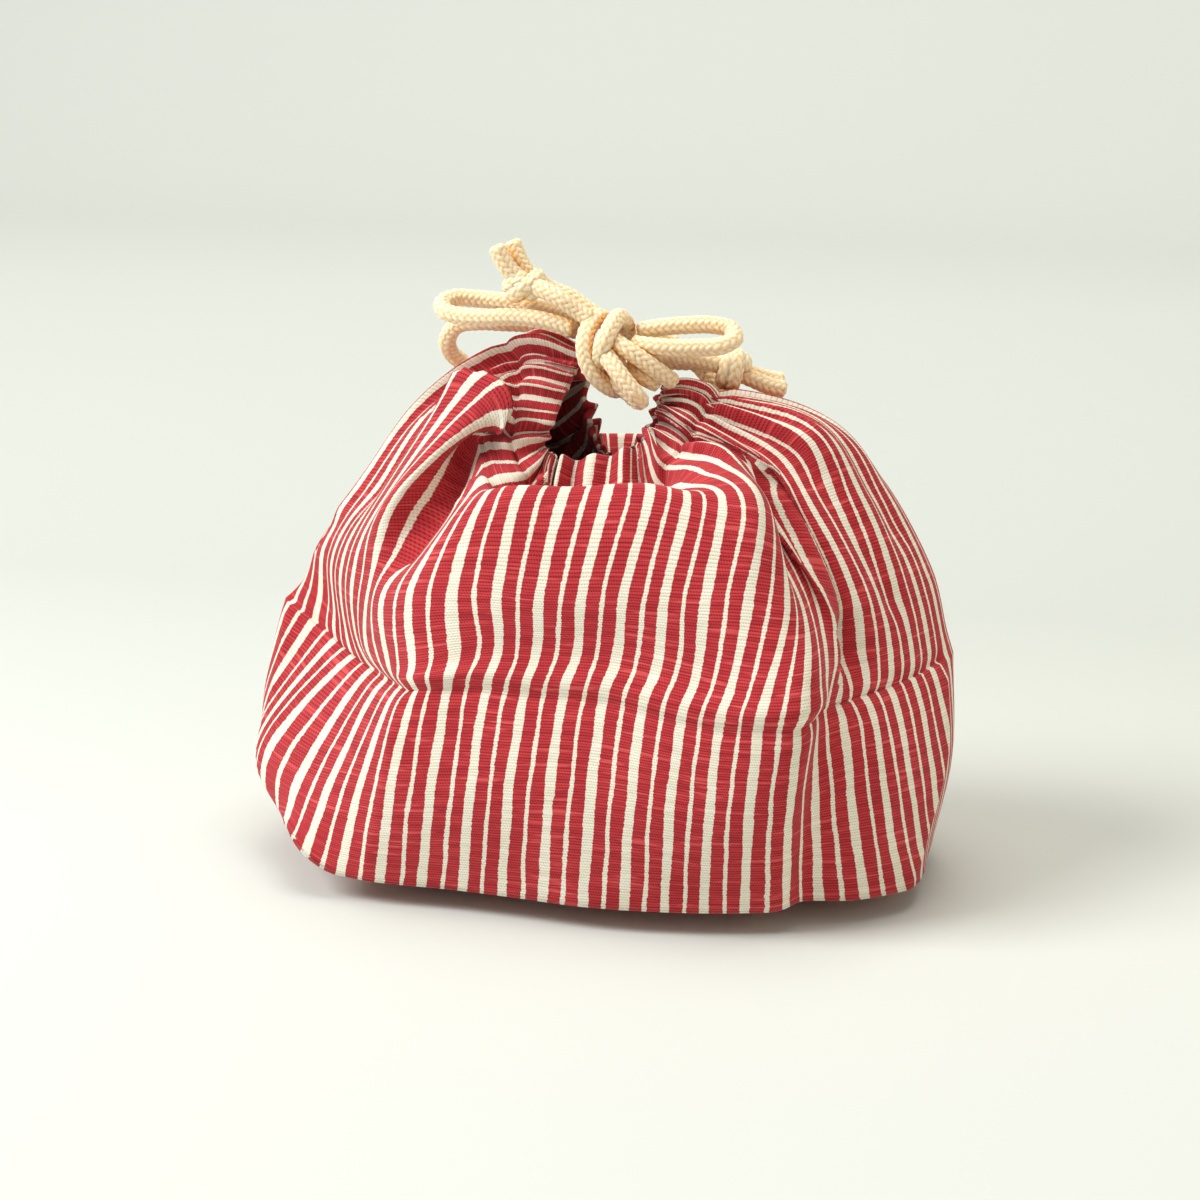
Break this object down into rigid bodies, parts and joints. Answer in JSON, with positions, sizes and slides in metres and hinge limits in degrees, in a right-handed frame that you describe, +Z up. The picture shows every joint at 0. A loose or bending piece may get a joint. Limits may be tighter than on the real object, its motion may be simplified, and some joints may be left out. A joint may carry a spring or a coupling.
{
  "type": "drawstring lunch bag",
  "caption": "Striped cotton drawstring lunch bag, standing full, gathered at the mouth and tied shut with doubled braided cords in a bow.",
  "frame": {"origin": "on the ground at the middle of the flat base", "axes": "+X along the bag to its right end, -Y towards the front, +Z up"},
  "size_m": [0.2106, 0.13, 0.1856],
  "materials": {
    "striped_cotton": "matt slub weave",
    "braided_cord": "soft sheen"
  },
  "bodies": {
    "root": {"bag_body": "striped_cotton", "bow_knot": "braided_cord", "end_knot_left": "braided_cord", "end_knot_right": "braided_cord", "cord_left_loop": "braided_cord", "cord_left_exit": "braided_cord", "cord_left_tail_1": "braided_cord", "cord_left_tail_2": "braided_cord", "cord_left_end_1": "braided_cord", "cord_left_end_2": "braided_cord", "cord_right_loop": "braided_cord", "cord_right_tail_1": "braided_cord", "cord_right_tail_2": "braided_cord", "cord_right_end_1": "braided_cord", "cord_right_end_2": "braided_cord", "cord_right_exit": "braided_cord", "cord_bow_bight": "braided_cord", "cord_bow_strand": "braided_cord"}
  },
  "joints": []
}
